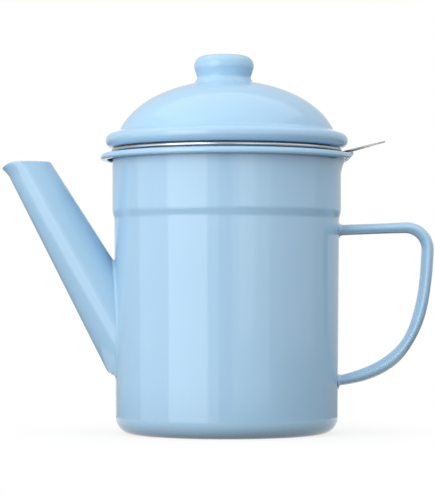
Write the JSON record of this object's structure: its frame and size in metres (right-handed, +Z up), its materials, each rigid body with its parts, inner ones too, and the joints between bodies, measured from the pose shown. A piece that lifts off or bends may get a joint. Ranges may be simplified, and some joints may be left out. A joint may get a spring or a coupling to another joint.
{
  "type": "bacon grease container",
  "caption": "Enamelled steel can with a long straight spout, a tube handle, a lift-out strainer with wire cloth bowl, and a domed lid with a knob.",
  "frame": {"origin": "centre of the pot's foot, on the plane it stands on", "axes": "+Z up along the pot's axis, +X towards the handle, -X towards the spout"},
  "size_m": [0.2158, 0.1264, 0.1888],
  "materials": {
    "enamel": "glossy",
    "stainless": "satin",
    "wire_cloth": "satin"
  },
  "bodies": {
    "pot": {"pot_body": "enamel", "spout": "enamel", "handle": "enamel"},
    "strainer": {"strainer_collar": "stainless", "strainer_mesh": "wire_cloth", "strainer_clamp_ring": "stainless", "strainer_tab": "stainless"},
    "lid": {"lid_shell": "enamel", "lid_skirt": "enamel", "lid_knob": "enamel"}
  },
  "joints": [
    {"name": "strainer_lift", "type": "slide", "parent": "pot", "child": "strainer", "axis": [0, 0, 1], "range_m": [0, 0.06]},
    {"name": "lid_lift", "type": "slide", "parent": "strainer", "child": "lid", "axis": [0, 0, 1], "range_m": [0, 0.06]}
  ]
}
